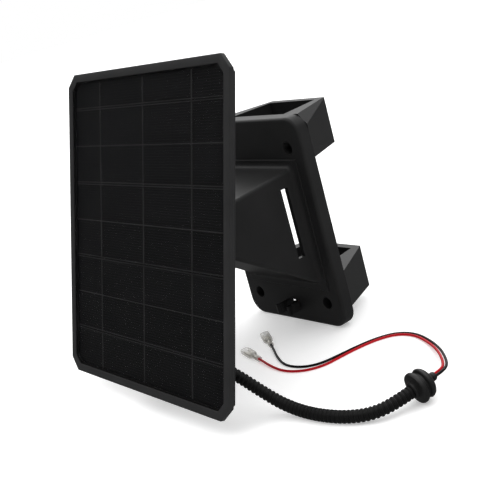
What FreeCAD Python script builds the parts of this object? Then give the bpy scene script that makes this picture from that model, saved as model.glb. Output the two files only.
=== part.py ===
import FreeCAD, Part
import math
import os
import Sketcher
from FreeCAD import Placement, Rotation, Vector

# Solar charging panel on a tilting post bracket, with a conduit lead that ends in two spade terminals.
# Frame: +X to the right seen from the front, +Y towards the post, +Z up, in millimetres.
# Origin: the centre of the four-screw pattern, on the plane where the bracket's feet meet the post.

doc = FreeCAD.newDocument("solar_panel_bracket")
sheet = doc.addObject("Spreadsheet::Sheet", "dims")

SIZES = {
    # panel, in its own frame: x right, y from the light-facing side backwards, z up the panel
    "panel_width": 199.4, "panel_height": 222.2, "panel_corner": 9.1, "panel_tilt": 19.25,
    "panel_forward": 20.2, "panel_above": 14.9,
    "window_width": 187.2, "window_height": 210.8, "window_corner": 6.1,
    "lip": 0.8, "lip_overlap": 1.6, "frame_depth": 3.5, "rebate_gap": 0.3,
    "glass_thickness": 1.5, "encapsulant_thickness": 0.3, "ribbon_thickness": 0.2,
    "cell_thickness": 0.3, "back_sheet_thickness": 0.4, "gasket_width": 1.6,
    "cell_pitch": 27.1, "cell_gap": 0.8, "cell_rise": 4.2, "cell_margin": 1.2,
    "busbar_spacing": 57.2, "busbar_width": 1.6, "ribbon_width": 0.7, "ribbon_pair": 1.6,
    "cover_inset": 0.9, "cover_thickness": 1.8, "cover_corner": 10.4,
    "cover_rib_width": 3.0, "cover_rib_height": 1.2, "pad_width": 60.0, "pad_height": 50.0,
    "pad_thickness": 3.0,
    # tilt joint
    "pivot_forward": 14.4, "pivot_z": 24.0, "bolt_diameter": 6.0, "bolt_fit": 0.05, "bolt_clearance": 0.2,
    "ear_radius": 11.0, "ear_gap": 24.4, "ears_width": 38.0, "tongue_gap": 0.3, "tongue_radius": 10.5,
    "mount_plate": 4.0, "mount_width": 54.0, "mount_height": 44.0,
    "mount_screws_x": 40.0, "mount_screws_z": 32.0, "mount_corner": 6.0,
    "washer_thickness": 1.6, "washer_diameter": 12.0, "head_across": 10.0, "head_thickness": 4.0,
    "nut_thickness": 6.0,
    # junction box on the back of the panel
    "box_width": 50.0, "box_height": 36.0, "box_depth": 15.0, "box_drop": 79.0, "box_wall": 2.2,
    "box_corner": 4.0, "box_seal": 1.0, "box_lid": 2.2, "box_boss": 6.4, "box_screw_inset": 5.0,
    "board_width": 34.0, "board_height": 22.0, "board_thickness": 1.6, "board_stand": 3.0,
    "board_hole": 2.4, "diode_diameter": 2.8, "diode_length": 5.2,
    "gland_back": 15.0, "gland_drop": 80.5, "gland_thread": 8.0, "gland_collar": 14.0,
    "gland_length": 16.0, "gland_collar_length": 4.0, "gland_barrel": 10.4, "gland_nut_gap": 0.1,
    "gland_nut_diameter": 13.4,
    # bracket
    "flange_front": 53.6, "flange_depth": 10.3, "flange_plate": 3.2, "flange_wall": 3.0,
    "flange_width": 108.0, "flange_height": 161.2, "flange_rise": 1.2, "flange_corner": 13.0,
    "flange_edge": 2.4, "screws_x": 78.0, "screws_z": 120.0, "screw_access": 9.4, "screw_hole": 5.2,
    "access_depth": 24.0, "pilot_depth": 7.0,
    "arm_base_width": 78.8, "arm_base_top": 46.1, "arm_base_low": 43.9, "arm_length": 76.0,
    "arm_tip_width": 59.0, "arm_tip_top": 36.4, "arm_tip_low": 9.5, "arm_wall": 3.0,
    "arm_edge": 3.0, "arm_root": 4.0, "plinth_height": 0.9, "plinth_margin": 5.6,
    "plinth_edge": 0.5, "arm_rib": 2.4,
    "slot_length": 52.6, "slot_width": 5.6, "slot_rise": 7.6, "slot_forward": 8.4, "slot_corner": 1.2,
    "foot_width": 59.4, "foot_top": 81.8, "upper_foot_height": 34.8, "lower_foot_top": -36.7,
    "lower_foot_height": 33.6, "foot_facet": 7.0, "upper_facet_height": 10.0,
    "lower_facet_height": 18.0, "foot_rim": 6.0, "foot_pocket_back": 51.2, "foot_pocket_front": 61.0,
    # conduit clip on the flange
    "clip_rise": -66.0, "clip_height": 7.6, "clip_bore": 8.6, "clip_wall": 2.6, "clip_mouth": 6.2,
    "clip_window": 6.6, "clip_window_height": 9.0,
    # lead
    "conduit_diameter": 8.2, "conduit_bore": 5.8, "wire_diameter": 1.8,
    "wire_spacing": 2.4,
    "grommet_flange": 20.0, "grommet_groove": 15.4, "grommet_neck": 11.0, "collar_diameter": 5.6, "collar_length": 4.0,
    "terminal_length": 22.0, "terminal_width": 7.2, "terminal_height": 4.2, "sleeve_wall": 0.6,
    "terminal_barrel": 4.2, "terminal_crimp": 2.8,
}

for row, (alias, value) in enumerate(SIZES.items(), start=1):
    sheet.set("A%d" % row, alias)
    sheet.set("B%d" % row, str(value))
    sheet.setAlias("B%d" % row, alias)
doc.recompute()


def size(alias):
    """A driving size, read from the sheet."""
    return float(sheet.get(alias))


def at(expression):
    """The value of an expression on the sheet's aliases."""
    value = sheet.evalExpression(expression)
    return float(getattr(value, "Value", value))


def bound(expression):
    """An expression whose plain words are aliases of the sheet, written for setExpression."""
    words = []
    for word in expression.replace("(", " ( ").replace(")", " ) ").split():
        words.append("dims." + word if word in SIZES else word)
    return " ".join(words)


# ---- helpers for sketches and features ----

def new_body(name):
    body = doc.addObject("PartDesign::Body", name)
    body.Label = name
    return body


def new_sketch(body, name, plane, offset="0"):
    """A sketch on one of the body's own origin planes, moved along the plane's normal."""
    sketch = body.newObject("Sketcher::SketchObject", name)
    support = next(f for f in body.Origin.OriginFeatures if f.Role == plane)
    sketch.AttachmentSupport = [(support, "")]
    sketch.MapMode = "FlatFace"
    sketch.setExpression(".AttachmentOffset.Base.z", bound(offset))
    return sketch


def pin_point(sketch, geometry, point, x, y):
    """Places a sketch point by two distances from the sketch's origin."""
    for kind, expression in (("DistanceX", x), ("DistanceY", y)):
        index = sketch.addConstraint(
            Sketcher.Constraint(kind, -1, 1, geometry, point, at(expression)))
        sketch.setExpression("Constraints[%d]" % index, bound(expression))


def polygon(sketch, corners):
    """A closed outline through corners given as pairs of expressions."""
    points = [Vector(at(x), at(y), 0) for x, y in corners]
    first = sketch.GeometryCount
    for start, end in zip(points, points[1:] + points[:1]):
        sketch.addGeometry(Part.LineSegment(start, end), False)
    for index, (x, y) in enumerate(corners):
        line = first + index
        after = first + (index + 1) % len(corners)
        sketch.addConstraint(Sketcher.Constraint("Coincident", line, 2, after, 1))
        pin_point(sketch, line, 1, x, y)


def rectangle(sketch, width, height, x="0", y="0"):
    left, right = "%s - ( %s ) / 2" % (x, width), "%s + ( %s ) / 2" % (x, width)
    low, high = "%s - ( %s ) / 2" % (y, height), "%s + ( %s ) / 2" % (y, height)
    polygon(sketch, [(left, low), (right, low), (right, high), (left, high)])


def octagon(sketch, width, height, corner):
    """A rectangle about the sketch's origin with its four corners cut at 45 degrees."""
    a, b = "( %s ) / 2" % width, "( %s ) / 2" % height
    a_in, b_in = "%s - ( %s )" % (a, corner), "%s - ( %s )" % (b, corner)
    quarter = [(a_in, b, 1), (a, b_in, 1)]
    corners = [(x, y) for x, y, _ in quarter]
    corners += [(x, "0 - ( %s )" % y) for x, y, _ in reversed(quarter)]
    corners += [("0 - ( %s )" % x, "0 - ( %s )" % y) for x, y, _ in quarter]
    corners += [("0 - ( %s )" % x, y) for x, y, _ in reversed(quarter)]
    polygon(sketch, corners)


def circle(sketch, diameter, x="0", y="0"):
    index = sketch.addGeometry(
        Part.Circle(Vector(at(x), at(y), 0), Vector(0, 0, 1), at(diameter) / 2), False)
    pin_point(sketch, index, 3, x, y)
    across = sketch.addConstraint(Sketcher.Constraint("Diameter", index, at(diameter)))
    sketch.setExpression("Constraints[%d]" % across, bound(diameter))


def pad(body, sketch, length, backwards=False):
    feature = body.newObject("PartDesign::Pad", sketch.Name + "_pad")
    feature.Profile = sketch
    feature.setExpression("Length", bound(length))
    feature.Reversed = backwards
    doc.recompute()
    return feature


def pocket(body, sketch, length, along_normal=False):
    """Cuts against the sketch's normal, or along it, and makes sure that something was cut."""
    before = body.Tip.Shape.Volume
    feature = body.newObject("PartDesign::Pocket", sketch.Name + "_pocket")
    feature.Profile = sketch
    feature.setExpression("Length", bound(length))
    feature.Reversed = along_normal
    doc.recompute()
    if feature.Shape.Volume > before - 1e-3:
        raise RuntimeError("%s cut nothing" % feature.Name)
    return feature


def loft(body, kind, start, end):
    feature = body.newObject("PartDesign::" + kind, start.Name + "_loft")
    feature.Profile = start
    feature.Sections = [end]
    feature.Ruled = True
    doc.recompute()
    return feature


def fillet(body, edges, radius):
    base = body.Tip
    feature = body.newObject("PartDesign::Fillet", body.Name + "_fillet_" + radius)
    feature.Base = (base, edges)
    feature.setExpression("Radius", bound(radius))
    doc.recompute()
    return feature


def edges_where(shape, test):
    return ["Edge%d" % (i + 1) for i, edge in enumerate(shape.Edges) if test(edge)]


def lies_at(edge, axis, value):
    """True where the whole edge has the same coordinate along an axis."""
    return all(abs(getattr(v.Point, axis) - value) < 1e-4 for v in edge.Vertexes)


def turned(body, sketch):
    """A full turn of the sketch about its own horizontal axis."""
    feature = body.newObject("PartDesign::Revolution", sketch.Name + "_turned")
    feature.Profile = sketch
    feature.ReferenceAxis = (sketch, ["H_Axis"])
    feature.Angle = 360
    doc.recompute()
    return feature


def profile_of_turning(sketch, steps):
    """Half of a turned outline: steps are (place along the axis, radius) expressions."""
    corners = [(steps[0][0], "0")] + list(steps) + [(steps[-1][0], "0")]
    polygon(sketch, corners)


def shaped(name, shape, placement=None):
    """A sub-part made by Part's own functions."""
    feature = doc.addObject("Part::Feature", name)
    feature.Label = name
    feature.Shape = shape
    if placement is not None:
        feature.Placement = placement
    return feature


# ---- the panel's own frame, set by its middle and its tilt ----

PIVOT_Y = "0 - flange_front - arm_length - pivot_forward"
pivot = Vector(0, at(PIVOT_Y), size("pivot_z"))
panel_place = Placement(
    pivot + Vector(0, -size("panel_forward"), size("panel_above")),
    Rotation(Vector(1, 0, 0), -size("panel_tilt")))
pivot_in_panel = panel_place.inverse().multVec(pivot)

# Depths in the panel, from the light-facing side backwards.
GLASS = "lip"
ENCAPSULANT = GLASS + " + glass_thickness"
RIBBON = ENCAPSULANT + " + encapsulant_thickness"
CELL = RIBBON + " + ribbon_thickness"
BACK_SHEET = CELL + " + cell_thickness"
COVER = "frame_depth"
COVER_BACK = COVER + " + cover_thickness"
PAD_BACK = COVER_BACK + " + pad_thickness"
REBATE_WIDTH = "window_width + 2 * lip_overlap"
REBATE_HEIGHT = "window_height + 2 * lip_overlap"
REBATE_CORNER = "window_corner + lip_overlap * 0.6"
PLATE_WIDTH = REBATE_WIDTH + " - 2 * rebate_gap"
PLATE_HEIGHT = REBATE_HEIGHT + " - 2 * rebate_gap"


def layer(name, sketch_name, front, thickness, outline):
    """A flat layer of the panel: an outline at a depth, thickened backwards."""
    body = new_body(name)
    sketch = new_sketch(body, sketch_name, "XZ_Plane", "0 - ( %s )" % front)
    outline(sketch)
    pad(body, sketch, thickness, backwards=True)
    body.Placement = panel_place
    return body


def make_panel_frame():
    body = new_body("panel_frame")
    outline = new_sketch(body, "frame_outline", "XZ_Plane")
    octagon(outline, "panel_width", "panel_height", "panel_corner")
    pad(body, outline, "frame_depth", backwards=True)
    window = new_sketch(body, "frame_window", "XZ_Plane")
    octagon(window, "window_width", "window_height", "window_corner")
    pocket(body, window, "frame_depth")
    rebate = new_sketch(body, "frame_rebate", "XZ_Plane", "0 - lip")
    octagon(rebate, REBATE_WIDTH, REBATE_HEIGHT, REBATE_CORNER)
    pocket(body, rebate, "frame_depth")
    body.Placement = panel_place


def make_glass_and_layers():
    layer("cover_glass", "glass_outline", GLASS, "glass_thickness",
          lambda s: octagon(s, PLATE_WIDTH, PLATE_HEIGHT, REBATE_CORNER))

    def inner_outline(sketch):
        margin = " - 2 * gasket_width - 2 * rebate_gap"
        octagon(sketch, PLATE_WIDTH + margin, PLATE_HEIGHT + margin, REBATE_CORNER)

    layer("encapsulant", "encapsulant_outline", ENCAPSULANT, "encapsulant_thickness", inner_outline)
    layer("back_sheet", "back_sheet_outline", BACK_SHEET, "back_sheet_thickness", inner_outline)

    def ring(sketch):
        octagon(sketch, PLATE_WIDTH, PLATE_HEIGHT, REBATE_CORNER)
        octagon(sketch, PLATE_WIDTH + " - 2 * gasket_width", PLATE_HEIGHT + " - 2 * gasket_width",
                REBATE_CORNER)

    layer("frame_gasket", "gasket_outline", ENCAPSULANT, "frame_depth - ( %s )" % ENCAPSULANT, ring)


def box_in_panel(name, x, y, z, width, depth, height):
    """A Part::Box in the panel's frame, low corner and sizes as expressions."""
    block = doc.addObject("Part::Box", name)
    block.setExpression("Length", bound(width))
    block.setExpression("Width", bound(depth))
    block.setExpression("Height", bound(height))
    block.Placement = panel_place.multiply(Placement(Vector(at(x), at(y), at(z)), Rotation()))
    return block


def group(name, parts):
    """Separate solids of one kind, kept together as one node."""
    compound = doc.addObject("Part::Compound", name)
    compound.Label = name
    compound.Links = parts
    return compound


def make_cells():
    """Eight cell strips between seven level lines, with their ribbons and three upright busbars."""
    half_window = size("window_height") / 2 - size("cell_margin")
    lines = [size("cell_rise") + (3 - k) * size("cell_pitch") for k in range(7)]
    edges = [half_window] + lines + [-half_window]
    half = "( window_width / 2 - cell_margin )"
    cut = "( window_corner - 0.7 )"
    strips, ribbons = [], []
    for number, (top, low) in enumerate(zip(edges, edges[1:])):
        upper = top - (size("cell_gap") / 2 if number else 0)
        lower = low + (size("cell_gap") / 2 if number < 7 else 0)
        corners = [(half, str(lower)), (half, str(upper)), ("0 - " + half, str(upper)),
                   ("0 - " + half, str(lower))]
        if number == 0:
            corners[1:3] = [(half, "%s - %s" % (upper, cut)), ("%s - %s" % (half, cut), str(upper)),
                            ("0 - %s + %s" % (half, cut), str(upper)),
                            ("0 - " + half, "%s - %s" % (upper, cut))]
        if number == 7:
            corners[3:] = [("0 - " + half, "%s + %s" % (lower, cut)),
                           ("0 - %s + %s" % (half, cut), str(lower))]
            corners[:1] = [("%s - %s" % (half, cut), str(lower)),
                           (half, "%s + %s" % (lower, cut))]
        strip = layer("cell_strip_%d" % (number + 1), "strip_outline_%d" % (number + 1), CELL,
                      "cell_thickness", lambda sketch: polygon(sketch, corners))
        strips.append(strip)
    for number, line in enumerate(lines):
        offsets = (-0.5, 0.5) if number % 2 == 0 else (0,)
        for side in offsets:
            low = line + side * size("ribbon_pair") - size("ribbon_width") / 2
            ribbons.append(box_in_panel(
                "ribbon_%d_%s" % (number + 1, "low" if side < 0 else "high"),
                "cell_margin - window_width / 2", RIBBON, str(low),
                "window_width - 2 * cell_margin", "ribbon_thickness / 2", "ribbon_width"))
    busbars = [
        box_in_panel("busbar_%d" % (number + 2), "%d * busbar_spacing - busbar_width / 2" % number,
                     RIBBON + " + ribbon_thickness / 2", "cell_margin - window_height / 2",
                     "busbar_width", "ribbon_thickness / 2", "window_height - 2 * cell_margin")
        for number in (-1, 0, 1)]
    group("solar_cells", strips)
    group("cell_ribbons", ribbons)
    group("busbars", busbars)


def make_rear_cover():
    body = new_body("rear_cover")
    width, height = "panel_width - 2 * cover_inset", "panel_height - 2 * cover_inset"
    outline = new_sketch(body, "cover_outline", "XZ_Plane", "0 - frame_depth")
    octagon(outline, width, height, "cover_corner")
    pad(body, outline, "cover_thickness", backwards=True)
    ribs = new_sketch(body, "cover_rib_outline", "XZ_Plane", "0 - ( %s )" % COVER_BACK)
    octagon(ribs, width + " - 16", height + " - 16", "cover_corner")
    octagon(ribs, width + " - 16 - 2 * cover_rib_width", height + " - 16 - 2 * cover_rib_width",
            "cover_corner")
    pad(body, ribs, "cover_rib_height", backwards=True)
    seat = new_sketch(body, "cover_pad", "XZ_Plane", "0 - ( %s )" % COVER_BACK)
    rectangle(seat, "pad_width", "pad_height", "0", str(pivot_in_panel.z))
    pad(body, seat, "pad_thickness", backwards=True)
    pilot = new_sketch(body, "insert_holes", "XZ_Plane", "0 - ( %s )" % PAD_BACK)
    for sx in (-1, 1):
        for sz in (-1, 1):
            circle(pilot, "4.6", "%d * mount_screws_x / 2" % sx,
                   "%s + %d * mount_screws_z / 2" % (pivot_in_panel.z, sz))
    pocket(body, pilot, "pad_thickness + 0.6", along_normal=True)
    tabs = new_sketch(body, "tab_slots", "XZ_Plane", "0 - frame_depth")
    for side in (-1, 1):
        rectangle(tabs, "6", "2", str(side * 8.0), "0 - box_drop")
    pocket(body, tabs, "cover_thickness")
    body.Placement = panel_place


# ---- junction box ----

BOX_BACK = COVER_BACK + " + box_depth"
SEAL_BACK = BOX_BACK + " + box_seal"
SCREW_X = "box_width / 2 - box_screw_inset"
SCREW_Z = "box_height / 2 - box_screw_inset"
BOARD_FRONT = COVER_BACK + " + box_wall + board_stand"


def corner_circles(sketch, diameter, x, z, middle):
    for sx in (-1, 1):
        for sz in (-1, 1):
            circle(sketch, diameter, "%d * ( %s )" % (sx, x), "%s + %d * ( %s )" % (middle, sz, z))


def make_junction_box():
    body = new_body("junction_box")
    outline = new_sketch(body, "box_outline", "XZ_Plane", "0 - ( %s )" % COVER_BACK)
    rectangle(outline, "box_width", "box_height", "0", "0 - box_drop")
    pad(body, outline, "box_depth", backwards=True)
    upright = edges_where(body.Tip.Shape, lambda e: abs(e.Vertexes[0].Y - e.Vertexes[-1].Y) > 1)
    fillet(body, upright, "box_corner")
    inside = new_sketch(body, "box_inside", "XZ_Plane", "0 - ( %s )" % BOX_BACK)
    rectangle(inside, "box_width - 2 * box_wall", "box_height - 2 * box_wall", "0", "0 - box_drop")
    pocket(body, inside, "box_depth - box_wall", along_normal=True)
    posts = new_sketch(body, "box_posts", "XZ_Plane", "0 - ( %s )" % COVER_BACK)
    corner_circles(posts, "box_boss", SCREW_X, SCREW_Z, "0 - box_drop")
    pad(body, posts, "box_depth", backwards=True)
    stands = new_sketch(body, "board_stands", "XZ_Plane", "0 - ( %s )" % COVER_BACK)
    for side in (-1, 1):
        circle(stands, "5", "%d * ( board_width / 2 - 4 )" % side, "0 - box_drop")
    pad(body, stands, "box_wall + board_stand", backwards=True)
    pilots = new_sketch(body, "box_pilots", "XZ_Plane", "0 - ( %s )" % BOX_BACK)
    corner_circles(pilots, "2.6", SCREW_X, SCREW_Z, "0 - box_drop")
    pocket(body, pilots, "9", along_normal=True)
    board_pilots = new_sketch(body, "board_pilots", "XZ_Plane", "0 - ( %s )" % BOARD_FRONT)
    for side in (-1, 1):
        circle(board_pilots, "2", "%d * ( board_width / 2 - 4 )" % side, "0 - box_drop")
    pocket(body, board_pilots, "4", along_normal=True)
    tabs = new_sketch(body, "box_tab_slots", "XZ_Plane", "0 - ( %s )" % COVER_BACK)
    for side in (-1, 1):
        rectangle(tabs, "6", "2", str(side * 8.0), "0 - box_drop")
    pocket(body, tabs, "box_wall")
    outlet = new_sketch(body, "gland_hole", "YZ_Plane", "box_width / 2")
    circle(outlet, "gland_thread", "gland_back", "0 - gland_drop")
    pocket(body, outlet, "box_wall")
    body.Placement = panel_place


def make_box_seal_and_lid():
    seal = new_body("junction_box_seal")
    ring = new_sketch(seal, "seal_ring", "XZ_Plane", "0 - ( %s )" % BOX_BACK)
    octagon_at = ("box_width", "box_height", "box_corner")
    middle = "0 - box_drop"
    rounded(ring, *octagon_at, middle)
    rounded(ring, "box_width - 2 * box_wall + 0.4", "box_height - 2 * box_wall + 0.4",
            "box_corner - box_wall + 0.4", middle)
    pad(seal, ring, "box_seal", backwards=True)
    seal.Placement = panel_place
    lid = new_body("junction_box_lid")
    plate = new_sketch(lid, "lid_outline", "XZ_Plane", "0 - ( %s )" % SEAL_BACK)
    rounded(plate, *octagon_at, middle)
    corner_circles(plate, "3.2", SCREW_X, SCREW_Z, middle)
    pad(lid, plate, "box_lid", backwards=True)
    rim = edges_where(lid.Tip.Shape, lambda e: lies_at(e, "y", at(SEAL_BACK + " + box_lid"))
                      and e.Length > 2.6 * 4)
    solid = lid.Tip
    chamfer = lid.newObject("PartDesign::Chamfer", "lid_chamfer")
    chamfer.Base = (solid, rim)
    chamfer.Size = 0.7
    doc.recompute()
    lid.Placement = panel_place


def rounded(sketch, width, height, corner, middle):
    """A rectangle with rounded corners, centred on x = 0 and the given height."""
    w, h, r = at(width) / 2, at(height) / 2, at(corner)
    cz = at(middle)
    quarter = [(w - r, h - r, 0), (r - w, h - r, 90), (r - w, r - h, 180), (w - r, r - h, 270)]
    first = sketch.GeometryCount
    for x, z, start in quarter:
        arc = Part.ArcOfCircle(Part.Circle(Vector(x, z + cz, 0), Vector(0, 0, 1), r),
                               math.radians(start), math.radians(start + 90))
        sketch.addGeometry(arc, False)
    signs = [(1, 1), (-1, 1), (-1, -1), (1, -1)]
    for index, (sx, sz) in enumerate(signs):
        pin_point(sketch, first + index, 3, "%d * ( ( %s ) / 2 - ( %s ) )" % (sx, width, corner),
                  "%s + %d * ( ( %s ) / 2 - ( %s ) )" % (middle, sz, height, corner))
    for index in range(4):
        here, after = first + index, first + (index + 1) % 4
        start = sketch.getPoint(here, 2)
        end = sketch.getPoint(after, 1)
        line = sketch.addGeometry(Part.LineSegment(start, end), False)
        sketch.addConstraint(Sketcher.Constraint("Tangent", here, 2, line, 1))
        sketch.addConstraint(Sketcher.Constraint("Tangent", line, 2, after, 1))
        if index < 3:
            level = "Vertical" if index == 1 else "Horizontal"
            sketch.addConstraint(Sketcher.Constraint(level, line))
    across = sketch.addConstraint(Sketcher.Constraint("Radius", first, r))
    sketch.setExpression("Constraints[%d]" % across, bound(corner))


def screw(shank, head, head_height, length, recess):
    """A pan-head screw along +Y: the head's seat is at y = 0 and the shank points to -Y."""
    body = Part.makeCylinder(shank / 2, length, Vector(0, 0, 0), Vector(0, -1, 0))
    cap = Part.makeCylinder(head / 2, head_height, Vector(0, 0, 0), Vector(0, 1, 0))
    cap = cap.makeFillet(head_height * 0.45, [cap.Edges[0] if cap.Edges[0].Vertexes[0].Y > 0.1
                                              else cap.Edges[2]])
    cross = [Part.makeBox(recess, head_height * 0.5, recess / 4,
                          Vector(-recess / 2, head_height * 0.5, -recess / 8)),
             Part.makeBox(recess / 4, head_height * 0.5, recess,
                          Vector(-recess / 8, head_height * 0.5, -recess / 2))]
    return body.fuse(cap).removeSplitter().cut(cross[0].fuse(cross[1]))


def screws_in_panel(name, one, places):
    """Copies of one screw, as separate solids of one node."""
    copies = []
    for x, y, z in places:
        copy = one.copy()
        copy.Placement = Placement(Vector(x, y, z), Rotation())
        copies.append(copy)
    shaped(name, Part.makeCompound(copies), panel_place)


def four_places(x, y, z, middle):
    return [(sx * x, y, middle + sz * z) for sx in (-1, 1) for sz in (-1, 1)]


def make_box_fittings():
    drop = -size("box_drop")
    screws_in_panel("lid_screws", screw(2.5, 4.6, 1.8, 9.0, 2.6),
                    four_places(at(SCREW_X), at(SEAL_BACK + " + box_lid"), at(SCREW_Z), drop))
    board = new_body("circuit_board")
    outline = new_sketch(board, "board_outline", "XZ_Plane", "0 - ( %s )" % BOARD_FRONT)
    rectangle(outline, "board_width", "board_height", "0", "0 - box_drop")
    for side in (-1, 1):
        circle(outline, "board_hole", "%d * ( board_width / 2 - 4 )" % side, "0 - box_drop")
        rectangle(outline, "6", "2", str(side * 8.0), "0 - box_drop")
    pad(board, outline, "board_thickness", backwards=True)
    board.Placement = panel_place
    board_back = at(BOARD_FRONT + " + board_thickness")
    hole_x = size("board_width") / 2 - 4
    screws_in_panel("board_screws", screw(1.9, 3.6, 1.4, 4.5, 2.0),
                    [(side * hole_x, board_back, drop) for side in (-1, 1)])
    diode_radius = size("diode_diameter") / 2
    axis_y = board_back + diode_radius + 0.3
    pill = Part.makeCylinder(diode_radius, size("diode_length"),
                             Vector(-size("diode_length") / 2, axis_y, drop + 7), Vector(1, 0, 0))
    lead = size("diode_length") / 2 + 2
    rod = Part.makeCylinder(0.35, 2 * lead, Vector(-lead, axis_y, drop + 7), Vector(1, 0, 0))
    feet = [Part.makeCylinder(0.35, axis_y - board_back, Vector(x, board_back, drop + 7),
                              Vector(0, 1, 0)) for x in (-lead + 0.35, lead - 0.35)]
    shaped("blocking_diode", pill.fuse([rod] + feet).removeSplitter(), panel_place)
    posts = [Part.makeCylinder(1.2, 4.0, Vector(x, board_back, drop - 7), Vector(0, 1, 0))
             for x in (-5.0, 5.0)]
    shaped("solder_posts", Part.makeCompound(posts), panel_place)
    tabs = [Part.makeBox(4.0, board_back + 1.2 - at(BACK_SHEET + " + back_sheet_thickness"), 0.4,
                         Vector(x - 2.0, at(BACK_SHEET + " + back_sheet_thickness"), drop - 0.2))
            for x in (-8.0, 8.0)]
    shaped("output_tabs", Part.makeCompound(tabs), panel_place)


def make_gland():
    """A strain relief through the box's side: a threaded body, and a nut over its barrel."""
    start = "box_width / 2"
    body = new_body("gland_body")
    profile = new_sketch(body, "gland_body_profile", "XZ_Plane")
    profile_of_turning(profile, [
        (start + " - box_wall - 2", "gland_thread / 2 - 0.05"),
        (start, "gland_thread / 2 - 0.05"),
        (start, "gland_collar / 2"),
        (start + " + gland_collar_length", "gland_collar / 2"),
        (start + " + gland_collar_length", "gland_barrel / 2"),
        (start + " + gland_length - 4", "gland_barrel / 2")])
    turned(body, profile)
    place = Placement(Vector(0, size("gland_back"), -size("gland_drop")), Rotation())
    body.Placement = panel_place.multiply(place)
    nut = new_body("gland_nut")
    nut_profile = new_sketch(nut, "gland_nut_profile", "XZ_Plane")
    bore = "gland_barrel / 2 + gland_nut_gap"
    polygon(nut_profile, [
        (start + " + gland_collar_length + gland_nut_gap", bore),
        (start + " + gland_collar_length + gland_nut_gap", "gland_nut_diameter / 2"),
        (start + " + gland_length - 3.5", "gland_nut_diameter / 2"),
        (start + " + gland_length", "conduit_diameter / 2 + 1.2"),
        (start + " + gland_length", "conduit_bore / 2"),
        (start + " + gland_length - 4 + gland_nut_gap", "conduit_bore / 2"),
        (start + " + gland_length - 4 + gland_nut_gap", bore)])
    turned(nut, nut_profile)
    nut.Placement = panel_place.multiply(place)


# ---- tilt joint ----

def make_tilt_mount():
    """The panel's half of the joint: a plate on the cover's pad, and a tongue round the bolt."""
    body = new_body("tilt_mount")
    px, pz = str(pivot_in_panel.y), str(pivot_in_panel.z)
    plate = new_sketch(body, "mount_outline", "XZ_Plane", "0 - ( %s )" % PAD_BACK)
    rounded(plate, "mount_width", "mount_height", "mount_corner", pz)
    corner_circles(plate, "3.4", "mount_screws_x / 2", "mount_screws_z / 2", pz)
    pad(body, plate, "mount_plate", backwards=True)
    half = "( ear_gap / 2 - tongue_gap )"
    web = new_sketch(body, "tongue_web", "YZ_Plane", "0 - " + half)
    low, high = "%s - tongue_radius" % pz, "%s + tongue_radius" % pz
    polygon(web, [(PAD_BACK, "%s - 4" % low), (px, low), (px, high), (PAD_BACK, "%s + 4" % high)])
    pad(body, web, "2 * " + half)
    round_end = new_sketch(body, "tongue_round", "YZ_Plane", "0 - " + half)
    circle(round_end, "2 * tongue_radius", px, pz)
    pad(body, round_end, "2 * " + half)
    bore = new_sketch(body, "tongue_bore", "YZ_Plane", half)
    circle(bore, "bolt_diameter + 2 * bolt_fit", px, pz)
    pocket(body, bore, "2 * " + half)
    body.Placement = panel_place
    seat = at(PAD_BACK + " + mount_plate")
    places = four_places(size("mount_screws_x") / 2, seat, size("mount_screws_z") / 2,
                         pivot_in_panel.z)
    screws_in_panel("tilt_mount_screws", screw(2.9, 5.4, 2.0, 7.2, 3.0), places)
    inserts = []
    for x, _, z in places:
        base = Vector(x, at(PAD_BACK) - 3.4, z)
        shell = Part.makeCylinder(2.3, 3.4, base, Vector(0, 1, 0))
        inserts.append(shell.cut(Part.makeCylinder(1.5, 3.4, base, Vector(0, 1, 0))))
    shaped("mount_inserts", Part.makeCompound(inserts), panel_place)


def make_pivot_hardware():
    seat = size("ears_width") / 2
    washer, radius = size("washer_thickness"), size("bolt_diameter") / 2
    place = Placement(pivot, Rotation())
    bolt = new_body("tilt_bolt")
    shank = new_sketch(bolt, "bolt_shank", "YZ_Plane", "0 - ears_width / 2 - washer_thickness")
    circle(shank, "bolt_diameter")
    pad(bolt, shank, "ears_width + 2 * washer_thickness + nut_thickness + 1.5")
    head = new_sketch(bolt, "bolt_head", "YZ_Plane", "0 - ears_width / 2 - washer_thickness")
    hexagon(head, "head_across")
    pad(bolt, head, "head_thickness", backwards=True)
    bolt.Placement = place
    rings = []
    for start in (-seat - washer, seat):
        disc = Part.makeCylinder(size("washer_diameter") / 2, washer, Vector(start, 0, 0),
                                 Vector(1, 0, 0))
        hole = Part.makeCylinder(radius + size("bolt_clearance"), washer, Vector(start, 0, 0),
                                 Vector(1, 0, 0))
        rings.append(disc.cut(hole))
    shaped("tilt_washers", Part.makeCompound(rings), place)
    nut = new_body("tilt_nut")
    outline = new_sketch(nut, "nut_outline", "YZ_Plane", "ears_width / 2 + washer_thickness")
    hexagon(outline, "head_across")
    circle(outline, "bolt_diameter + 2 * bolt_fit")
    pad(nut, outline, "nut_thickness")
    nut.Placement = place


def hexagon(sketch, across):
    """Six corners about the sketch's origin, two flats level."""
    reach = 0.5 / math.cos(math.pi / 6)
    angles = [math.radians(60 * k) for k in range(6)]
    polygon(sketch, [("%.6f * ( %s )" % (reach * math.cos(a), across),
                      "%.6f * ( %s )" % (reach * math.sin(a), across)) for a in angles])


# ---- bracket ----

FLANGE_BACK = "flange_front - flange_depth"
PLATE_BACK = "flange_front - flange_plate"
ARM_TIP = "flange_front + arm_length"


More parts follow.
